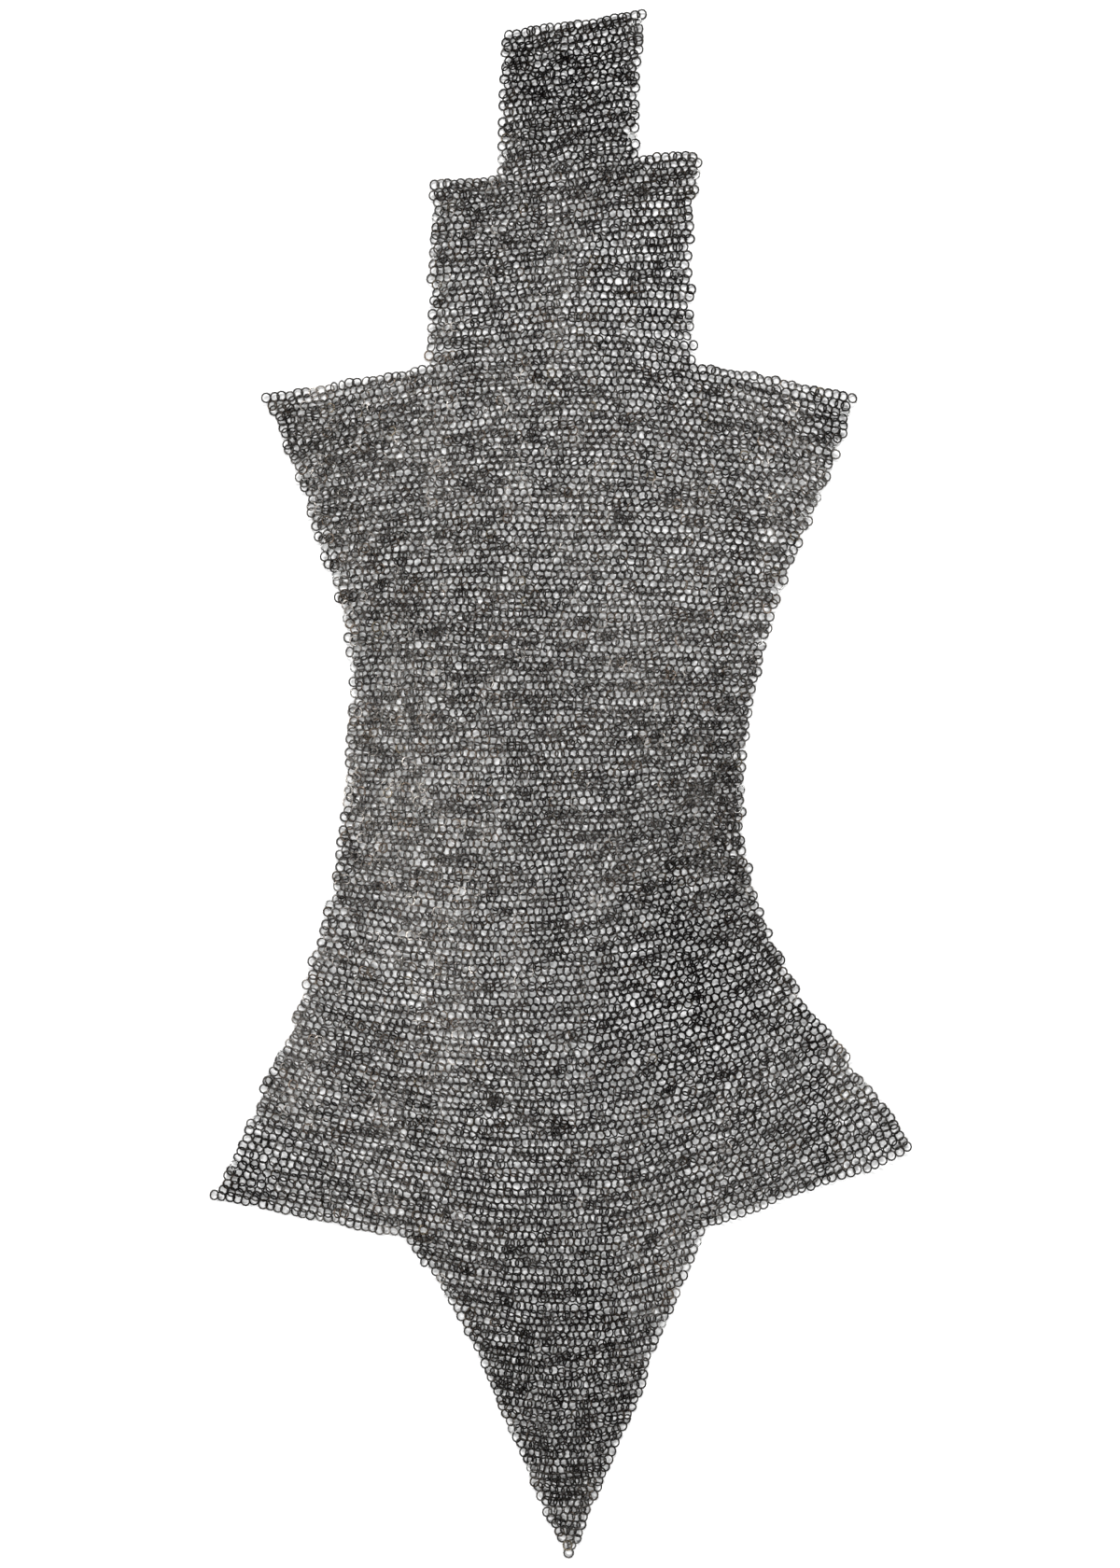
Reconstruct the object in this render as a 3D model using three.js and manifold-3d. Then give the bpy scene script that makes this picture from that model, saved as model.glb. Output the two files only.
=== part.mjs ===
// A mail chausse laid out flat: one open panel of linked steel rings, with a stepped end, a narrow
// waist, two flared corners and a long point. Millimetres, +X right, +Y to the stepped end, +Z up.
// The panel rests on z = 0. Each piece is a plain wall with the garment's outline, ring by ring.
import * as THREE from "three";
import { mergeVertices } from "three/addons/utils/BufferGeometryUtils.js";
import Module from "manifold-3d";

const wasm = await Module();
wasm.setup();

// One ring, and how it lies in the mail
const RING_OUTER = 9.0;
const WIRE = 1.2;
const LEAN = THREE.MathUtils.degToRad(22);
const RING_RADIUS = (RING_OUTER - WIRE) / 2;
const THICKNESS = 2 * RING_RADIUS * Math.sin(LEAN) + WIRE;

// How the pieces are cut apart: the gap at a seam, and the usual spacing that turns it into rows
// and columns
const SEAM_GAP = 0.3;
const ROW_SPACING = 5.7;
const RING_PITCH = 6.2;
const HALF_ROW_GAP = SEAM_GAP / 2 / ROW_SPACING;
const HALF_COLUMN_GAP = SEAM_GAP / 2 / RING_PITCH;

// How finely the pieces are drawn: sides of a ring's round, columns that the wall reaches past its
// limit, millimetres of flatness, and rows or columns between the points of an edge
const RING_SIDES = 6;
const EDGE_REACH = 0.15;
const FLATNESS = 0.01;
const SEAM_STEP = 2;
const CORE_STEP = 3;
const WALK_STEPS = 16;

// Rows and columns by which a cut passes outside the mail, and millimetres above and below it
const CLEAR_ROWS = 3;
const CLEAR_COLUMN = 62;
const CLEAR_HEIGHT = 1;

// How the rows run. A section gives the place of the centre column on one row, the pitch of the
// rings at the outer columns and the centre, and the row's rise per millimetre at five columns.
const OUTER_COLUMN = 38;
const INNER_COLUMN = 16;
const SECTIONS = [
  { row: 0, x: 10, y: 650, pitch: [6.0, 5.9, 5.9], rise: [0.13, 0.13, 0.15, 0.12, 0.1] },
  { row: 22, x: 6, y: 526, pitch: [6.2, 6.0, 6.0], rise: [0.05, 0.07, 0.15, 0.09, 0.04] },
  { row: 35, x: 3.5, y: 453.5, pitch: [6.3, 6.0, 6.0], rise: [0.08, 0.05, 0.11, 0.02, -0.06] },
  { row: 50, x: 1, y: 363.5, pitch: [6.5, 6.2, 6.7], rise: [0.19, 0.14, 0.02, -0.12, -0.27] },
  { row: 61, x: -2.5, y: 300.5, pitch: [6.5, 6.2, 7.0], rise: [0.2, 0.1, 0, -0.09, -0.24] },
  { row: 75, x: -8, y: 221, pitch: [6.3, 6.2, 6.9], rise: [0.2, 0.06, -0.02, -0.05, -0.19] },
  { row: 89, x: -13.5, y: 141, pitch: [6.0, 6.1, 6.6], rise: [0.13, 0.03, -0.03, -0.03, -0.1] },
  { row: 103, x: -18, y: 61, pitch: [5.7, 5.9, 6.3], rise: [0, 0.01, 0, 0, 0] },
  { row: 116, x: -21, y: -16, pitch: [5.9, 5.9, 6.3], rise: [-0.11, -0.05, 0.04, 0.07, 0.1] },
  { row: 130, x: -21, y: -97.5, pitch: [6.2, 6.1, 6.6], rise: [-0.19, -0.09, 0.06, 0.16, 0.26] },
  { row: 143, x: -17, y: -174.5, pitch: [6.4, 6.2, 6.8], rise: [-0.26, -0.11, 0.06, 0.22, 0.42] },
  { row: 156, x: -10.5, y: -251, pitch: [6.7, 6.1, 7.1], rise: [-0.28, -0.12, 0.05, 0.23, 0.49] },
  { row: 167, x: -4, y: -315, pitch: [6.9, 5.9, 7.3], rise: [-0.27, -0.14, 0.03, 0.24, 0.46] },
  { row: 182, x: 3, y: -406, pitch: [6.8, 5.6, 7.2], rise: [-0.23, -0.17, 0.01, 0.31, 0.38] },
  { row: 190, x: 5, y: -454.5, pitch: [6.2, 5.5, 6.4], rise: [-0.28, -0.24, -0.01, 0.29, 0.34] },
  { row: 206, x: 6.5, y: -551, pitch: [5.6, 5.4, 5.6], rise: [-0.4, -0.35, 0, 0.35, 0.4] },
  { row: 224, x: 8, y: -658, pitch: [5.6, 5.4, 5.6], rise: [-0.4, -0.35, 0, 0.35, 0.4] },
];

// How many rings each piece reaches to the left and right of the centre column
const TAB = {
  first: 0,
  last: 21,
  edges: [
    { row: 0, left: 9.7, right: 10.1 },
    { row: 21, left: 9.6, right: 9.6 },
  ],
};
const BLOCK = {
  first: 22,
  last: 49,
  edges: [
    { row: 22, left: 19.1, right: 18.7 },
    { row: 49, left: 18.1, right: 17.7 },
  ],
};
const BODY = {
  first: 50,
  last: 181,
  edges: [
    { row: 50, left: 40.1, right: 39.1 },
    { row: 61, left: 36, right: 36.2 },
    { row: 75, left: 32, right: 32.6 },
    { row: 89, left: 28, right: 30.6 },
    { row: 103, left: 27.5, right: 29.7 },
    { row: 116, left: 27.8, right: 29.2 },
    { row: 130, left: 28.3, right: 29 },
    { row: 143, left: 31.3, right: 31.4 },
    { row: 156, left: 35.6, right: 35.6 },
    { row: 167, left: 40.4, right: 40.4 },
    { row: 181, left: 47.5, right: 46.6 },
  ],
};
const POINT = {
  first: 182,
  last: 224,
  edges: [
    { row: 182, left: 22.4, right: 20.6 },
    { row: 190, left: 17.6, right: 16 },
    { row: 206, left: 9.8, right: 9.8 },
    { row: 224, left: 0.4, right: 0.4 },
  ],
};

// The body's panels lie between these rows and columns
const BODY_BANDS = [
  { name: "upper", rows: [50, 91], columns: [-14, 16], panels: ["left_wing", "panel", "right_wing"] },
  { name: "waist", rows: [92, 132], columns: [-14, 16], panels: ["left", "panel", "right"] },
  { name: "lower", rows: [133, 181], columns: [-18, 18], panels: ["left_wing", "panel", "right_wing"] },
];

const STEEL = { roughness: 0.42, metalness: 1 };
const STEEL_SHADES = [0x5d5a56, 0x66625d, 0x55524f];

// A smooth curve through values that are given at uneven rows
function along(rows, values, row) {
  const last = rows.length - 1;
  const slopes = rows.slice(1).map((r, i) => (values[i + 1] - values[i]) / (r - rows[i]));
  const tangent = (i) => {
    if (i === 0) return slopes[0];
    if (i === last) return slopes[last - 1];
    const before = rows[i] - rows[i - 1];
    const after = rows[i + 1] - rows[i];
    return (slopes[i - 1] * after + slopes[i] * before) / (before + after);
  };
  let k = 0;
  while (k < last - 1 && row >= rows[k + 1]) k += 1;
  const span = rows[k + 1] - rows[k];
  const t = (row - rows[k]) / span;
  const turn = t * t * (3 - 2 * t);
  const leave = t * (1 - t) * (1 - t) * span * tangent(k);
  const arrive = t * t * (t - 1) * span * tangent(k + 1);
  return values[k] + (values[k + 1] - values[k]) * turn + leave + arrive;
}

const sectionRows = SECTIONS.map((s) => s.row);
const sectionValue = (read, row) => along(sectionRows, SECTIONS.map(read), row);

function limits(piece, row) {
  const rows = piece.edges.map((e) => e.row);
  return {
    left: along(rows, piece.edges.map((e) => e.left), row),
    right: along(rows, piece.edges.map((e) => e.right), row),
  };
}

// Pitch and rise at any column of a row
function pitchAt(pitch, column) {
  const outer = column < 0 ? pitch[0] : pitch[2];
  return pitch[1] + ((outer - pitch[1]) * Math.abs(column)) / OUTER_COLUMN;
}

function riseAt(rise, column) {
  const side = Math.sign(column);
  const away = Math.abs(column);
  const inner = rise[2 + side];
  if (away <= INNER_COLUMN) return rise[2] + ((inner - rise[2]) * away) / INNER_COLUMN;
  const outer = rise[2 + 2 * side];
  return inner + ((outer - inner) * (away - INNER_COLUMN)) / (OUTER_COLUMN - INNER_COLUMN);
}

// The place of a row at a column, walked out from the centre column
function rowCurve(row) {
  const x = sectionValue((s) => s.x, row);
  const y = sectionValue((s) => s.y, row);
  const pitch = [0, 1, 2].map((i) => sectionValue((s) => s.pitch[i], row));
  const rise = [0, 1, 2, 3, 4].map((i) => sectionValue((s) => s.rise[i], row));
  return (column) => {
    const point = new THREE.Vector2(x, y);
    for (let i = 0; i < WALK_STEPS; i += 1) {
      const at = (column * (i + 0.5)) / WALK_STEPS;
      const turn = Math.atan(riseAt(rise, at));
      const length = (pitchAt(pitch, at) * column) / WALK_STEPS;
      point.x += length * Math.cos(turn);
      point.y += length * Math.sin(turn);
    }
    return point;
  };
}

// Rings lie on whole columns in even rows, and half a column over in odd rows
function endColumns(piece, row) {
  const half = (row % 2) / 2;
  const { left, right } = limits(piece, row);
  return {
    first: Math.ceil(-left - half) + half,
    last: Math.floor(right - half) + half,
  };
}

// The columns whose rings stand out at the edge: all of an end row, else an end that its
// neighbours above and below don't cover
function edgeColumns(piece, row) {
  const ends = endColumns(piece, row);
  if (row === piece.first || row === piece.last) {
    return Array.from({ length: ends.last - ends.first + 1 }, (_, i) => ends.first + i);
  }
  const above = endColumns(piece, row - 1);
  const below = endColumns(piece, row + 1);
  const found = [];
  if (2 * ends.first <= above.first + below.first) found.push(ends.first);
  if (2 * ends.last >= above.last + below.last) found.push(ends.last);
  return found;
}

function solidFrom(geometry) {
  const bare = geometry.index ? geometry.toNonIndexed() : geometry.clone();
  bare.deleteAttribute("normal");
  bare.deleteAttribute("uv");
  const merged = mergeVertices(bare, 1e-4);
  const mesh = new wasm.Mesh({
    numProp: 3,
    vertProperties: merged.attributes.position.array,
    triVerts: new Uint32Array(merged.index.array),
  });
  return new wasm.Manifold(mesh);
}

function slab(points, below, above) {
  const shape = new THREE.Shape(points);
  const geometry = new THREE.ExtrudeGeometry(shape, { depth: above - below, bevelEnabled: false });
  return solidFrom(geometry.translate(0, 0, below));
}

function disc(centre) {
  const geometry = new THREE.CylinderGeometry(RING_OUTER / 2, RING_OUTER / 2, THICKNESS, RING_SIDES);
  geometry.rotateX(Math.PI / 2);
  return solidFrom(geometry.translate(centre.x, centre.y, THICKNESS / 2));
}

// Values from one end to the other, with the whole multiples of a step between them
function stops(from, to, step) {
  const found = [from];
  for (let v = Math.ceil(from / step) * step; v < to; v += step) if (v > from) found.push(v);
  return [...found, to];
}

// A prism over the rows and columns of a patch, taller than the mail, for cutting
function patch(rows, columns) {
  const down = stops(rows[0], rows[1], SEAM_STEP);
  const across = stops(columns[0], columns[1], SEAM_STEP);
  const top = rowCurve(rows[0]);
  const bottom = rowCurve(rows[1]);
  const points = [
    ...across.map((c) => bottom(c)),
    ...down.slice(1, -1).reverse().map((r) => rowCurve(r)(columns[1])),
    ...across.slice().reverse().map((c) => top(c)),
    ...down.slice(1, -1).map((r) => rowCurve(r)(columns[0])),
  ];
  return slab(points, -CLEAR_HEIGHT, THICKNESS + CLEAR_HEIGHT);
}

// A piece's wall: the area between its outermost rings, with a round for each ring of its edge
function wall(piece) {
  const rows = [];
  for (let row = piece.first; row <= piece.last; row += 1) rows.push(row);
  const sampled = rows.filter((row) => (row - piece.first) % CORE_STEP === 0 || row === piece.last);
  const ends = sampled.map((row) => {
    const { left, right } = limits(piece, row);
    return { curve: rowCurve(row), left: -left - EDGE_REACH, right: right + EDGE_REACH };
  });
  const first = ends[0];
  const final = ends[ends.length - 1];
  const inside = (end) => stops(end.left, end.right, SEAM_STEP).slice(1, -1);
  const core = [
    ...ends.map((end) => end.curve(end.left)),
    ...inside(final).map((c) => final.curve(c)),
    ...ends.slice().reverse().map((end) => end.curve(end.right)),
    ...inside(first).reverse().map((c) => first.curve(c)),
  ];
  const rounds = rows.flatMap((row) => edgeColumns(piece, row).map((c) => disc(rowCurve(row)(c))));
  const joined = wasm.Manifold.union([slab(core, 0, THICKNESS), ...rounds]);
  return joined.asOriginal().simplify(FLATNESS);
}

// The patch that a smaller piece keeps for itself where it meets a larger one
const TAB_CLAIM = { rows: [-CLEAR_ROWS, 21.5], columns: [-10.7, 10.9] };
const BLOCK_CLAIM = { rows: [18, 49.5], columns: [-20, 19.6] };
const POINT_CLAIM = { rows: [181.5, 224 + CLEAR_ROWS], columns: [-23.4, 21.6] };

// A claim less half the seam's gap, for the piece itself
function kept({ rows, columns }) {
  return patch(
    [rows[0] + HALF_ROW_GAP, rows[1] - HALF_ROW_GAP],
    [columns[0] + HALF_COLUMN_GAP, columns[1] - HALF_COLUMN_GAP],
  );
}

// A claim and half the seam's gap more, for the piece next to it
function cleared({ rows, columns }) {
  return patch(
    [rows[0] - HALF_ROW_GAP, rows[1] + HALF_ROW_GAP],
    [columns[0] - HALF_COLUMN_GAP, columns[1] + HALF_COLUMN_GAP],
  );
}

function mailMesh(name, solid, shade) {
  const made = solid.getMesh();
  const geometry = new THREE.BufferGeometry();
  geometry.setAttribute("position", new THREE.BufferAttribute(made.vertProperties, 3));
  geometry.setIndex(new THREE.BufferAttribute(made.triVerts, 1));
  geometry.computeVertexNormals();
  const mesh = new THREE.Mesh(geometry, new THREE.MeshStandardMaterial({ ...STEEL, color: shade }));
  mesh.name = name;
  return mesh;
}

function bodyPanels(body) {
  return BODY_BANDS.flatMap((band) => {
    const [first, last] = band.rows;
    const [left, right] = band.columns;
    const above = first === BODY.first ? first - CLEAR_ROWS : first - 0.5 + HALF_ROW_GAP;
    const below = last === BODY.last ? last + CLEAR_ROWS : last + 0.5 - HALF_ROW_GAP;
    const spans = [
      [-CLEAR_COLUMN, left],
      [left, right],
      [right, CLEAR_COLUMN],
    ];
    return spans.map(([from, to], i) => {
      const cut = patch([above, below], [from + HALF_COLUMN_GAP, to - HALF_COLUMN_GAP]);
      return mailMesh(`${band.name}_${band.panels[i]}`, body.intersect(cut), STEEL_SHADES[i]);
    });
  });
}

const tab = wall(TAB).intersect(kept(TAB_CLAIM));
const block = wall(BLOCK).subtract(cleared(TAB_CLAIM)).intersect(kept(BLOCK_CLAIM));
const body = wall(BODY).subtract(cleared(BLOCK_CLAIM)).subtract(cleared(POINT_CLAIM));
const point = wall(POINT).intersect(kept(POINT_CLAIM));

const mail = new THREE.Group();
mail.add(mailMesh("top_tab", tab, STEEL_SHADES[2]));
mail.add(mailMesh("top_block", block, STEEL_SHADES[1]));
mail.add(...bodyPanels(body));
mail.add(mailMesh("bottom_point", point, STEEL_SHADES[2]));

// The origin is under the middle of the laid out panel
const middle = new THREE.Box3().setFromObject(mail).getCenter(new THREE.Vector3());
mail.position.set(-middle.x, -middle.y, 0);

export default mail;
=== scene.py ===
import math

import bpy
import numpy as np
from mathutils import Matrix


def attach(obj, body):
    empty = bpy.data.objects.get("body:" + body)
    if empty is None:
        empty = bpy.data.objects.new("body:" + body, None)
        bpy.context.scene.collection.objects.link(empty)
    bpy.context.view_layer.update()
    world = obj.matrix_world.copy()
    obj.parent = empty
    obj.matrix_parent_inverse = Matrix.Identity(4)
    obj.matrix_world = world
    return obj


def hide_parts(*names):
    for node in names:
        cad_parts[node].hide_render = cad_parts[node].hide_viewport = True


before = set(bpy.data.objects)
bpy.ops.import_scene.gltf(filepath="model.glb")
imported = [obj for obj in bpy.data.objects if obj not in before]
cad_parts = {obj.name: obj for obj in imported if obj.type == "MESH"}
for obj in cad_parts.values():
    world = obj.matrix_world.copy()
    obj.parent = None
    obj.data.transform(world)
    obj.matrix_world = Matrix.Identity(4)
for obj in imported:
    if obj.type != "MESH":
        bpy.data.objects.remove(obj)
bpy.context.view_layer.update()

MM = 0.001

# One ring, and how it lies in the mail (millimetres and degrees)
RING_OUTER = 9.0
WIRE = 1.2
LEAN = 22.0
LEAN_RANGE = (8.0, 54.0)
TURN_PER_SHIFT = 36.0
TURN_LIMIT = 40.0
EDGE_FLATTER = 6.0
RING_RADIUS = (RING_OUTER - WIRE) / 2
SEGMENTS = 11
SIDES = 4

# How much hand-made rings differ one by one (millimetres and degrees)
CENTRE_SPREAD = 0.55
LEAN_SPREAD = 8.0
TURN_SPREAD = 14.0
OVAL_SPREAD = 0.025

# How the mail lies slack and tight: along stretches of a row, and over broader areas
STRETCH_COLUMNS = 2.6
STRETCH_LEAN = 7.0
STRETCH_SHIFT = 0.8
STRETCH_OFFSET = 0.5
AREA_REACH = 55.0
AREA_LEAN = 4.0
AREA_SHIFT = 0.8

# The tables of random values behind them: rows and values to a row, and cells each way
ROW_COUNT = 240
ROW_VALUES = 40
AREA_CELLS = 80

# Seeds, one for each use: across and along the panel for the shifts, and one a piece
LEAN_SEEDS = (11, 12)
SHIFT_SEEDS = ((13, 14), (15, 16))
STREAK_SEED = 17
PIECE_SEED = 100

# Lengthwise streaks of darker and brighter steel: how far they reach each way, and how strong
STREAK_REACH = (20.0, 110.0)
STREAK_SHADE = 0.28

# The steel's colour, how much a ring's shade differs, and how well it is polished
STEEL = (0.08, 0.0748, 0.0688)
SHADE_SPREAD = 0.35
POLISH = 0.5
POLISH_SPREAD = 0.18

# A number is drawn from 0 to 1 for each ring. Low ones make it rusty, a middle range bright
# where it is at the edge, a range above the half brighter as a painted highlight, and the highest
# brassy.
RUSTY_BELOW = 0.08
RUSTY_TINT = (1.15, 0.98, 0.84)
BRIGHT_RANGE = (0.4, 0.46)
BRIGHT_EDGE = 1.2
BRIGHT_STEEL = (0.4, 0.4, 0.39)
BRIGHT_POLISH = 0.3
BRASSY_ABOVE = 0.994
BRASSY_EDGE = 2
BRASSY_EDGE_ABOVE = 0.98
BRASSY_TINT = (2.0, 1.8, 1.4)

# Rings with a painted highlight: their share in the middle, and the distance to the right at
# which there are none
HIGHLIT_FROM = 0.5
HIGHLIT_SHARE = 0.09
HIGHLIT_REACH = 350.0
HIGHLIT_GAIN = 3.0

# The camera (metres, and millimetres for the sensor) and the width that it sees
FRAME_WIDTH = 960 * MM
CAMERA_HEIGHT = 4.2
CAMERA_REACH = 20
SENSOR = 36.0

# The studio (metres and watts): half the floor's width, its white and the world's faint light,
# and the strips of light with their places, sizes and powers
FLOOR_HALF = 4.0
FLOOR_WHITE = 0.9
FLOOR_ROUGHNESS = 0.9
WORLD_LIGHT = 0.1
STRIPS = [
    ("left_strip", (-2.5, 0.3, 1.8), (0.5, 2.6), 70),
    ("right_strip", (2.5, 0.1, 1.8), (0.5, 2.6), 52),
    ("far_strip", (0.2, 2.8, 2.0), (2.6, 0.5), 120),
    ("near_strip", (-0.2, -2.8, 2.0), (2.6, 0.5), 68),
]

# The gap round each ring in its bake cell, as a share of the cell
BAKE_MARGIN = 0.08

# The middle of the CAD box in the rows' own coordinates (millimetres)
MIDDLE = (0.25, 0.11)

# How the rows run. A section gives the place of the centre column on one row, the pitch of the
# rings at the outer columns and the centre, and the row's rise per millimetre at five columns.
OUTER_COLUMN = 38
INNER_COLUMN = 16
WALK_STEPS = 16
SECTION_COLUMNS = ("row", "x", "y", "pitch_left", "pitch", "pitch_right",
                   "rise_far_left", "rise_left", "rise", "rise_right", "rise_far_right")
SECTIONS = [
    (0, 10, 650, 6.0, 5.9, 5.9, 0.13, 0.13, 0.15, 0.12, 0.1),
    (22, 6, 526, 6.2, 6.0, 6.0, 0.05, 0.07, 0.15, 0.09, 0.04),
    (35, 3.5, 453.5, 6.3, 6.0, 6.0, 0.08, 0.05, 0.11, 0.02, -0.06),
    (50, 1, 363.5, 6.5, 6.2, 6.7, 0.19, 0.14, 0.02, -0.12, -0.27),
    (61, -2.5, 300.5, 6.5, 6.2, 7.0, 0.2, 0.1, 0, -0.09, -0.24),
    (75, -8, 221, 6.3, 6.2, 6.9, 0.2, 0.06, -0.02, -0.05, -0.19),
    (89, -13.5, 141, 6.0, 6.1, 6.6, 0.13, 0.03, -0.03, -0.03, -0.1),
    (103, -18, 61, 5.7, 5.9, 6.3, 0, 0.01, 0, 0, 0),
    (116, -21, -16, 5.9, 5.9, 6.3, -0.11, -0.05, 0.04, 0.07, 0.1),
    (130, -21, -97.5, 6.2, 6.1, 6.6, -0.19, -0.09, 0.06, 0.16, 0.26),
    (143, -17, -174.5, 6.4, 6.2, 6.8, -0.26, -0.11, 0.06, 0.22, 0.42),
    (156, -10.5, -251, 6.7, 6.1, 7.1, -0.28, -0.12, 0.05, 0.23, 0.49),
    (167, -4, -315, 6.9, 5.9, 7.3, -0.27, -0.14, 0.03, 0.24, 0.46),
    (182, 3, -406, 6.8, 5.6, 7.2, -0.23, -0.17, 0.01, 0.31, 0.38),
    (190, 5, -454.5, 6.2, 5.5, 6.4, -0.28, -0.24, -0.01, 0.29, 0.34),
    (206, 6.5, -551, 5.6, 5.4, 5.6, -0.4, -0.35, 0, 0.35, 0.4),
    (224, 8, -658, 5.6, 5.4, 5.6, -0.4, -0.35, 0, 0.35, 0.4),
]

# How many rings each part reaches to the left and right of the centre column, by row
TAB_EDGES = [(0, 9.7, 10.1), (21, 9.6, 9.6)]
BLOCK_EDGES = [(22, 19.1, 18.7), (49, 18.1, 17.7)]
BODY_EDGES = [
    (50, 40.1, 39.1), (61, 36, 36.2), (75, 32, 32.6), (89, 28, 30.6), (103, 27.5, 29.7),
    (116, 27.8, 29.2), (130, 28.3, 29), (143, 31.3, 31.4), (156, 35.6, 35.6), (167, 40.4, 40.4),
    (181, 47.5, 46.6),
]
POINT_EDGES = [(182, 22.4, 20.6), (190, 17.6, 16), (206, 9.8, 9.8), (224, 0.4, 0.4)]

# The pieces: node, edge table, first and last row, and the columns between which it lies
FAR = 99
PIECES = [
    ("top_tab", TAB_EDGES, 0, 21, -FAR, FAR),
    ("top_block", BLOCK_EDGES, 22, 49, -FAR, FAR),
    ("upper_left_wing", BODY_EDGES, 50, 91, -FAR, -14),
    ("upper_panel", BODY_EDGES, 50, 91, -14, 16),
    ("upper_right_wing", BODY_EDGES, 50, 91, 16, FAR),
    ("waist_left", BODY_EDGES, 92, 132, -FAR, -14),
    ("waist_panel", BODY_EDGES, 92, 132, -14, 16),
    ("waist_right", BODY_EDGES, 92, 132, 16, FAR),
    ("lower_left_wing", BODY_EDGES, 133, 181, -FAR, -18),
    ("lower_panel", BODY_EDGES, 133, 181, -18, 18),
    ("lower_right_wing", BODY_EDGES, 133, 181, 18, FAR),
    ("bottom_point", POINT_EDGES, 182, 224, -FAR, FAR),
]

# Broad patches of painted shade and painted light, darker and brighter mail: centre x and y,
# reach in x and y, and the shade
SHADE_AND_LIGHT_PATCHES = [
    (10, 610, 90, 75, -2.1),
    (90, 435, 55, 110, -1.4),
    (-55, 440, 60, 110, -0.5),
    (-15, 40, 60, 150, -0.4),
    (-90, 165, 55, 70, -0.5),
    (115, -175, 80, 90, -2.2),
    (136, 32, 35, 60, -0.4),
    (245, -305, 60, 45, -0.9),
    (-265, -330, 60, 45, -1.6),
    (0, -320, 110, 80, -0.6),
    (5, -460, 90, 90, -1.1),
    (5, -570, 80, 70, -0.7),
    (-230, 305, 40, 35, -0.8),
    (235, 305, 35, 35, -0.5),
    (-165, 225, 50, 35, 0.3),
    (-140, 0, 50, 100, 0.5),
    (-125, -170, 60, 70, 0.35),
]


def smooth(t):
    return t * t * (3 - 2 * t)


def along(rows, values, at):
    """A smooth curve through values given at uneven rows, straight where there are only two."""
    rows = np.asarray(rows, float)
    values = np.asarray(values, float)
    spans = np.diff(rows)
    slopes = np.diff(values) / spans
    tangents = np.empty_like(values)
    tangents[0] = slopes[0]
    tangents[-1] = slopes[-1]
    weighed = slopes[:-1] * spans[1:] + slopes[1:] * spans[:-1]
    tangents[1:-1] = weighed / (spans[1:] + spans[:-1])
    k = np.clip(np.searchsorted(rows, at, side="right") - 1, 0, len(rows) - 2)
    t = (at - rows[k]) / spans[k]
    leave = t * (1 - t) ** 2 * spans[k] * tangents[k]
    arrive = t * t * (t - 1) * spans[k] * tangents[k + 1]
    return values[k] + (values[k + 1] - values[k]) * smooth(t) + leave + arrive


def place(column, row):
    """Where a column of a row lies, walked out from the centre column, in millimetres."""
    table = np.array(SECTIONS, float)
    at = {}
    for i, name in enumerate(SECTION_COLUMNS):
        at[name] = along(table[:, 0], table[:, i], row)
    x = at["x"].copy()
    y = at["y"].copy()
    for k in range(WALK_STEPS):
        u = column * (k + 0.5) / WALK_STEPS
        away = np.abs(u)
        outer = np.where(u < 0, at["pitch_left"], at["pitch_right"])
        pitch = at["pitch"] + (outer - at["pitch"]) * away / OUTER_COLUMN
        near = np.where(u < 0, at["rise_left"], at["rise_right"])
        far = np.where(u < 0, at["rise_far_left"], at["rise_far_right"])
        inner = at["rise"] + (near - at["rise"]) * away / INNER_COLUMN
        beyond = near + (far - near) * (away - INNER_COLUMN) / (OUTER_COLUMN - INNER_COLUMN)
        turn = np.arctan(np.where(away < INNER_COLUMN, inner, beyond))
        x += pitch * np.cos(turn) * column / WALK_STEPS
        y += pitch * np.sin(turn) * column / WALK_STEPS
    return np.stack([x - MIDDLE[0], y - MIDDLE[1]], axis=-1)


def steps(column, row):
    """The steps from each ring to the next one across, and to the next row."""
    across = place(column + 0.5, row) - place(column - 0.5, row)
    down = place(column, row + 0.5) - place(column, row - 0.5)
    return across, down


def ring_places(edges, first, last, left, right):
    """The columns and rows of a piece's rings, and how many rings each is from the edge.

    Odd rows lie half a column over.
    """
    rows = [e[0] for e in edges]
    found = []
    for row in range(first, last + 1):
        reach_left = float(along(rows, [e[1] for e in edges], row))
        reach_right = float(along(rows, [e[2] for e in edges], row))
        half = (row % 2) / 2
        for k in range(math.ceil(-reach_left - half), math.floor(reach_right - half) + 1):
            column = k + half
            if left <= column < right:
                edge = min(column + reach_left, reach_right - column)
                found.append((column, row, edge))
    return np.array(found, float).T


def stretches(column, row, seed):
    """A value for each ring that changes slowly along its row, and anew in each row."""
    table = np.random.default_rng(seed).normal(0, 1, (ROW_COUNT, ROW_VALUES))
    line = row.astype(int)
    at = column / STRETCH_COLUMNS + ROW_VALUES // 2 + table[line, 0] * STRETCH_OFFSET
    k = np.floor(at).astype(int)
    t = smooth(at - k)
    return table[line, k % ROW_VALUES] * (1 - t) + table[line, (k + 1) % ROW_VALUES] * t


def areas(centre, reach, seed):
    """A value for each ring that changes slowly over the mail."""
    table = np.random.default_rng(seed).normal(0, 1, (AREA_CELLS, AREA_CELLS))
    at = centre / np.asarray(reach) + AREA_CELLS // 2
    k = np.floor(at).astype(int)
    t = smooth(at - k)
    i, j = k[:, 0], k[:, 1]
    low = table[i, j] * (1 - t[:, 0]) + table[i + 1, j] * t[:, 0]
    high = table[i, j + 1] * (1 - t[:, 0]) + table[i + 1, j + 1] * t[:, 0]
    return low * (1 - t[:, 1]) + high * t[:, 1]


def turns(count):
    """Even steps once round, in radians."""
    return np.linspace(0, 2 * math.pi, count, endpoint=False)


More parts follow.
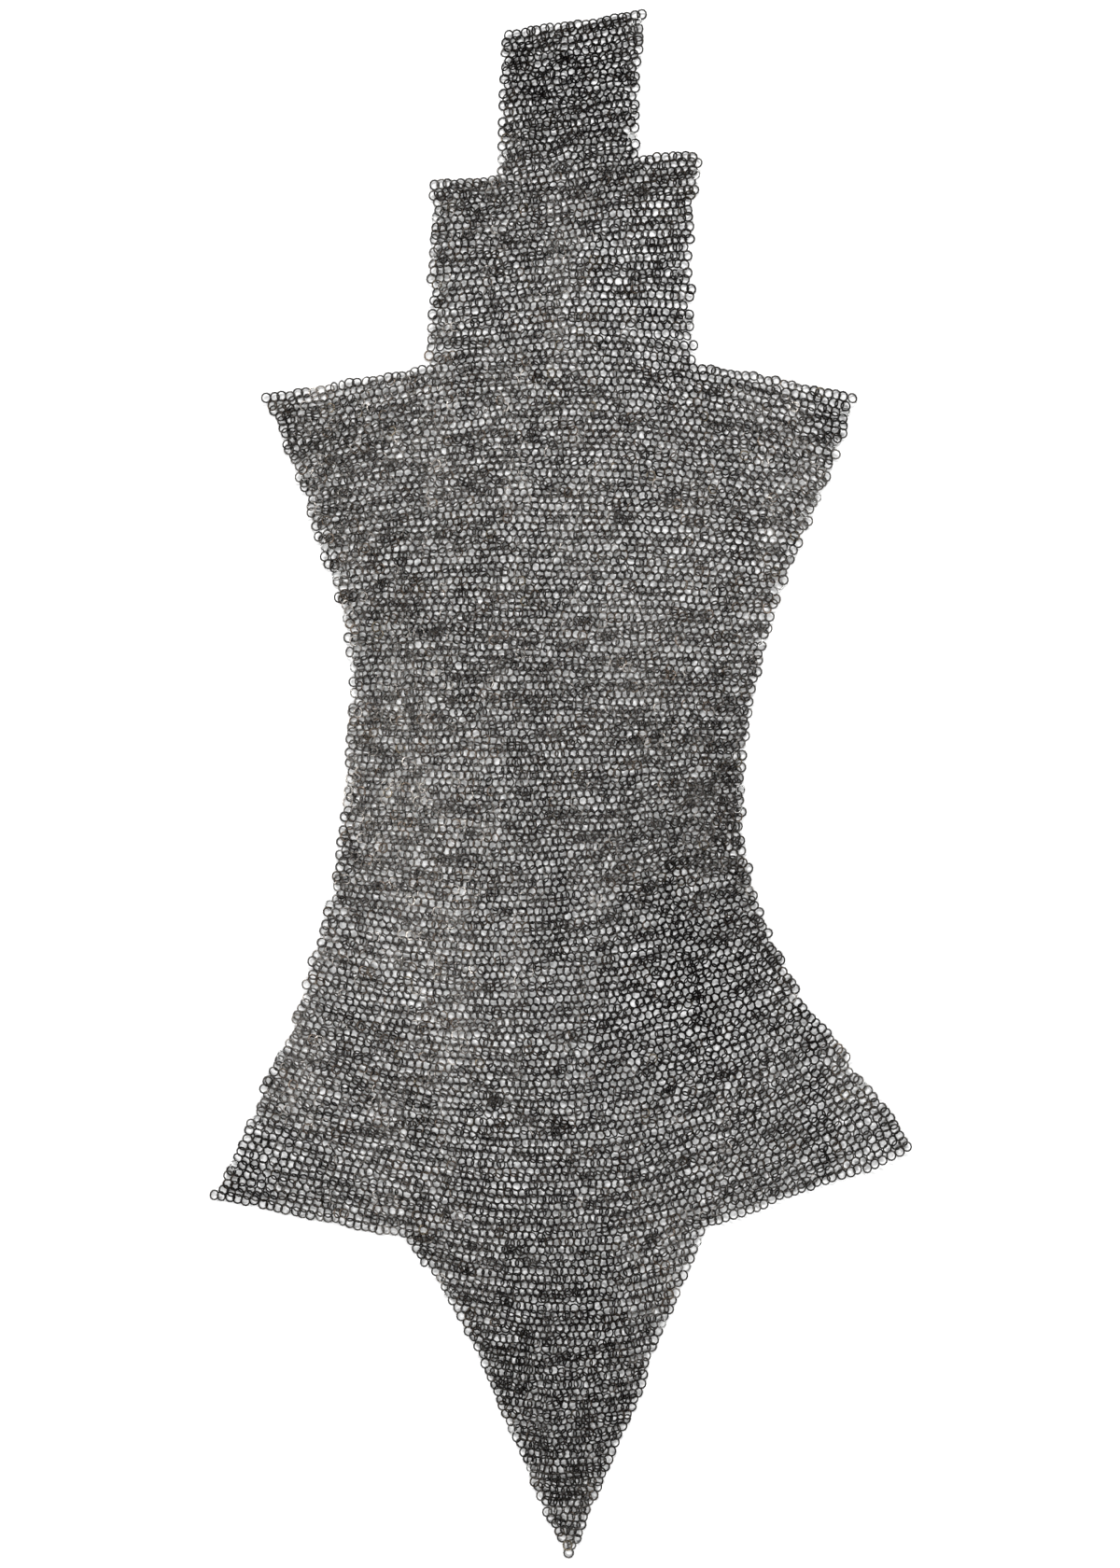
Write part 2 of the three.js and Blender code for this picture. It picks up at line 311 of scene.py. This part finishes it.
def fuller(count):
    """How much larger a round of few sides is drawn, to keep the area of the circle."""
    step = 2 * math.pi / count
    return math.sqrt(step / math.sin(step))


def rings(column, row, edge, rng):
    """Vertices of every ring, as (ring, segment, side, xyz), and the rings' centres."""
    centre = place(column, row)
    across, down = steps(column, row)
    heading = np.arctan2(across[:, 1], across[:, 0])
    shift = down[:, 0] * np.cos(heading) + down[:, 1] * np.sin(heading)
    count = len(column)
    turn = np.clip(TURN_PER_SHIFT * shift, -TURN_LIMIT, TURN_LIMIT)
    turn = heading + np.radians(turn + rng.normal(0, TURN_SPREAD, count))
    side = np.where(row % 2 == 0, 1.0, -1.0)
    stretch_seed, area_seed = LEAN_SEEDS
    lean = LEAN + STRETCH_LEAN * stretches(column, row, stretch_seed)
    lean = lean + AREA_LEAN * areas(centre, AREA_REACH, area_seed)
    lean = lean + rng.normal(0, LEAN_SPREAD, count) - EDGE_FLATTER * np.exp(-edge)
    lean = np.radians(np.clip(lean, *LEAN_RANGE))
    flat = np.sin(lean) * side
    normal = np.stack([flat * np.cos(turn), flat * np.sin(turn), np.cos(lean)], axis=-1)
    u = np.cross([[0.0, 1.0, 0.0]], normal)
    u /= np.linalg.norm(u, axis=1)[:, None]
    v = np.cross(normal, u)
    oval = 1 + rng.normal(0, OVAL_SPREAD, (count, 1, 1, 1))
    start = rng.uniform(0, 2 * math.pi, (count, 1, 1, 1))
    angle = start + turns(SEGMENTS).reshape(1, -1, 1, 1)
    around = turns(SIDES).reshape(1, 1, -1, 1)
    wire = WIRE / 2 * fuller(SIDES)
    radius = RING_RADIUS * fuller(SEGMENTS)
    out = u[:, None, None, :] * np.cos(angle) * oval + v[:, None, None, :] * np.sin(angle) / oval
    middle = np.zeros((count, 3))
    middle[:, :2] = centre + rng.normal(0, CENTRE_SPREAD, (count, 2))
    for axis, (stretch_seed, area_seed) in enumerate(SHIFT_SEEDS):
        stretch = STRETCH_SHIFT * stretches(column, row, stretch_seed)
        middle[:, axis] += stretch + AREA_SHIFT * areas(centre, AREA_REACH, area_seed)
    points = middle[:, None, None, :] + out * radius
    points = points + wire * (out * np.cos(around) + normal[:, None, None, :] * np.sin(around))
    # Each ring rests on the surface
    points[..., 2] -= points[..., 2].min(axis=(1, 2), keepdims=True)
    return points, middle


def shades(middle, edge, rng):
    """Each ring's steel colour, with painted shade and painted highlight, and how polished it is.
    """
    count = len(edge)
    shade = rng.normal(0, SHADE_SPREAD, count)
    shade += STREAK_SHADE * areas(middle[:, :2], STREAK_REACH, STREAK_SEED)
    # Painted shade and light: broad patches darken or brighten the steel of the rings
    for x, y, reach_x, reach_y, amount in SHADE_AND_LIGHT_PATCHES:
        far = ((middle[:, 0] - x) / reach_x) ** 2 + ((middle[:, 1] - y) / reach_y) ** 2
        shade += amount * np.exp(-far)
    colour = np.array([STEEL]) * np.exp(shade)[:, None]
    pick = rng.uniform(0, 1, count)
    rusty = pick < RUSTY_BELOW
    brassy = (pick > BRASSY_ABOVE) | ((edge < BRASSY_EDGE) & (pick > BRASSY_EDGE_ABOVE))
    bright = (edge < BRIGHT_EDGE) & (pick > BRIGHT_RANGE[0]) & (pick < BRIGHT_RANGE[1])
    # Rings with a painted highlight are more common to the left
    share = HIGHLIT_SHARE * (1 - middle[:, 0] / HIGHLIT_REACH)
    highlit = (pick > HIGHLIT_FROM) & (pick < HIGHLIT_FROM + share)
    colour[rusty] *= RUSTY_TINT
    colour[brassy] *= BRASSY_TINT
    # Painted highlight: these rings' steel is drawn brighter
    colour[highlit] *= HIGHLIT_GAIN
    colour[bright] = BRIGHT_STEEL
    polish = np.clip(rng.normal(POLISH, POLISH_SPREAD, count) + BRIGHT_POLISH * bright, 0, 1)
    return colour, polish


def steel():
    """Dark oiled steel wire: a ring's colour with its painted shade and highlight, drawn
    scratches, oil and specks of rust.
    """
    material = bpy.data.materials.new("oiled_steel_wire")
    material.use_nodes = True
    nodes = material.node_tree.nodes
    link = material.node_tree.links.new
    shader = nodes["Principled BSDF"]
    shader.inputs["Metallic"].default_value = 1.0
    place_at = nodes.new("ShaderNodeTexCoord")

    def attribute(name):
        node = nodes.new("ShaderNodeAttribute")
        node.attribute_name = name
        return node

    def noise(scale, detail):
        node = nodes.new("ShaderNodeTexNoise")
        node.inputs["Scale"].default_value = scale
        node.inputs["Detail"].default_value = detail
        link(place_at.outputs["Object"], node.inputs["Vector"])
        return node.outputs["Fac"]

    def ramp(value, from_range, to_range):
        node = nodes.new("ShaderNodeMapRange")
        node.inputs["From Min"].default_value, node.inputs["From Max"].default_value = from_range
        node.inputs["To Min"].default_value, node.inputs["To Max"].default_value = to_range
        link(value, node.inputs["Value"])
        return node.outputs["Result"]

    grime = noise(240.0, 3.0)
    scratch = noise(1500.0, 2.0)
    # Oil and grime darken the steel in soft patches, and the butted joint is a thin dark line
    dirt = ramp(grime, (0.35, 0.7), (1.15, 0.62))
    joint = ramp(attribute("Butt").outputs["Fac"], (0.9, 0.96), (1.0, 0.2))
    dark = nodes.new("ShaderNodeMath")
    dark.operation = "MULTIPLY"
    link(dirt, dark.inputs[0])
    link(joint, dark.inputs[1])
    tone = nodes.new("ShaderNodeVectorMath")
    tone.operation = "SCALE"
    link(attribute("Steel").outputs["Color"], tone.inputs["Vector"])
    link(dark.outputs["Value"], tone.inputs["Scale"])
    # Specks of rust
    mix = nodes.new("ShaderNodeMix")
    mix.data_type = "RGBA"
    link(ramp(scratch, (0.66, 0.74), (0.0, 1.0)), mix.inputs["Factor"])
    link(tone.outputs["Vector"], mix.inputs["A"])
    mix.inputs["B"].default_value = (0.12, 0.075, 0.045, 1)
    link(mix.outputs["Result"], shader.inputs["Base Color"])
    # A polished ring is smoother, and grime makes it uneven
    uneven = nodes.new("ShaderNodeMath")
    uneven.operation = "MULTIPLY_ADD"
    link(grime, uneven.inputs[0])
    uneven.inputs[1].default_value = 0.2
    link(ramp(attribute("Polish").outputs["Fac"], (0.0, 1.0), (0.36, 0.1)), uneven.inputs[2])
    link(uneven.outputs["Value"], shader.inputs["Roughness"])
    bump = nodes.new("ShaderNodeBump")
    bump.inputs["Strength"].default_value = 0.25
    bump.inputs["Distance"].default_value = 0.08 * MM
    link(scratch, bump.inputs["Height"])
    link(bump.outputs["Normal"], shader.inputs["Normal"])
    return material


def mail_mesh(name, points, colour, polish):
    """One mesh of closed rings, with each ring's colour, and a bake cell of its own for each."""
    count = len(points)
    mesh = bpy.data.meshes.new(name)
    total = count * SEGMENTS * SIDES
    mesh.vertices.add(total)
    mesh.vertices.foreach_set("co", (points * MM).astype(np.float32).ravel())
    index = np.arange(total).reshape(count, SEGMENTS, SIDES)
    ahead = np.roll(index, -1, axis=1)
    corners = [index, ahead, np.roll(ahead, -1, axis=2), np.roll(index, -1, axis=2)]
    quads = np.stack(corners, axis=-1)
    mesh.loops.add(total * 4)
    mesh.loops.foreach_set("vertex_index", quads.astype(np.int32).ravel())
    mesh.polygons.add(total)
    mesh.polygons.foreach_set("loop_start", np.arange(0, total * 4, 4, dtype=np.int32))
    mesh.update(calc_edges=True)
    mesh.shade_smooth()
    per_ring = SEGMENTS * SIDES
    steel_colour = mesh.attributes.new("Steel", "FLOAT_COLOR", "POINT")
    rgba = np.concatenate([colour, np.ones((count, 1))], axis=1)
    rgba = np.repeat(rgba, per_ring, axis=0).astype(np.float32)
    steel_colour.data.foreach_set("color", rgba.ravel())
    polished = mesh.attributes.new("Polish", "FLOAT", "POINT")
    polished.data.foreach_set("value", np.repeat(polish, per_ring).astype(np.float32))
    butt = mesh.attributes.new("Butt", "FLOAT", "POINT")
    first = np.zeros((count, SEGMENTS, SIDES), np.float32)
    first[:, 0] = 1
    butt.data.foreach_set("value", first.ravel())
    # Bake cells, in a square grid
    grid = math.ceil(math.sqrt(count))
    ring, segment, side = np.meshgrid(
        np.arange(count), np.arange(SEGMENTS), np.arange(SIDES), indexing="ij"
    )
    corner_u = np.stack([segment, segment + 1, segment + 1, segment], axis=-1) / SEGMENTS
    corner_v = np.stack([side, side, side + 1, side + 1], axis=-1) / SIDES
    cell_u = (ring % grid)[..., None] + BAKE_MARGIN + corner_u * (1 - 2 * BAKE_MARGIN)
    cell_v = (ring // grid)[..., None] + BAKE_MARGIN + corner_v * (1 - 2 * BAKE_MARGIN)
    uv = np.stack([cell_u, cell_v], axis=-1) / grid
    bake = mesh.uv_layers.new(name="OFBake")
    bake.data.foreach_set("uv", uv.astype(np.float32).ravel())
    return mesh


def add_camera():
    """A camera straight above. The photograph's middle is a little off the middle of the mail."""
    data = bpy.data.cameras.new("camera")
    data.sensor_fit = "HORIZONTAL"
    data.sensor_width = SENSOR
    data.lens = SENSOR * CAMERA_HEIGHT / FRAME_WIDTH
    data.clip_end = CAMERA_REACH
    camera = bpy.data.objects.new("camera", data)
    camera.location = (-MIDDLE[0] * MM, -MIDDLE[1] * MM, CAMERA_HEIGHT)
    bpy.context.collection.objects.link(camera)
    bpy.context.scene.camera = camera


def add_light(name, location, size, power):
    """A soft box that faces the middle of the mail."""
    data = bpy.data.lights.new(name, "AREA")
    data.shape = "RECTANGLE"
    data.size, data.size_y = size
    data.energy = power
    light = bpy.data.objects.new(name, data)
    light.location = location
    to_middle = -light.location
    light.rotation_euler = to_middle.to_track_quat("-Z", "Y").to_euler()
    bpy.context.collection.objects.link(light)


def add_floor():
    mesh = bpy.data.meshes.new("floor")
    signs = [(-1, -1), (1, -1), (1, 1), (-1, 1)]
    corners = [(x * FLOOR_HALF, y * FLOOR_HALF, 0) for x, y in signs]
    mesh.from_pydata(corners, [], [(0, 1, 2, 3)])
    floor = bpy.data.objects.new("floor", mesh)
    material = bpy.data.materials.new("white_floor")
    material.use_nodes = True
    shader = material.node_tree.nodes["Principled BSDF"]
    shader.inputs["Base Color"].default_value = (FLOOR_WHITE, FLOOR_WHITE, FLOOR_WHITE, 1)
    shader.inputs["Roughness"].default_value = FLOOR_ROUGHNESS
    mesh.materials.append(material)
    bpy.context.collection.objects.link(floor)


def add_studio():
    world = bpy.data.worlds.new("studio")
    world.use_nodes = True
    background = world.node_tree.nodes["Background"]
    background.inputs["Color"].default_value = (1, 1, 1, 1)
    background.inputs["Strength"].default_value = WORLD_LIGHT
    bpy.context.scene.world = world
    bpy.context.scene.view_settings.view_transform = "Standard"
    for strip in STRIPS:
        add_light(*strip)


def flat_area(column, row):
    """A piece's flat area in square metres, one cell of the lattice for each ring."""
    across, down = steps(column, row)
    cells = np.abs(across[:, 0] * down[:, 1] - across[:, 1] * down[:, 0])
    return float(cells.sum() * MM * MM)


def build():
    material = steel()
    for number, (node, edges, first, last, left, right) in enumerate(PIECES):
        rng = np.random.default_rng(PIECE_SEED + number)
        column, row, edge = ring_places(edges, first, last, left, right)
        points, middle = rings(column, row, edge, rng)
        colour, polish = shades(middle, edge, rng)
        mesh = mail_mesh(node + "_mail", points, colour, polish)
        mesh.materials.append(material)
        piece = bpy.data.objects.new(node + "_mail", mesh)
        bpy.context.collection.objects.link(piece)
        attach(piece, "root")
        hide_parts(node)
        area = flat_area(column, row)


add_camera()
add_studio()
add_floor()
build()
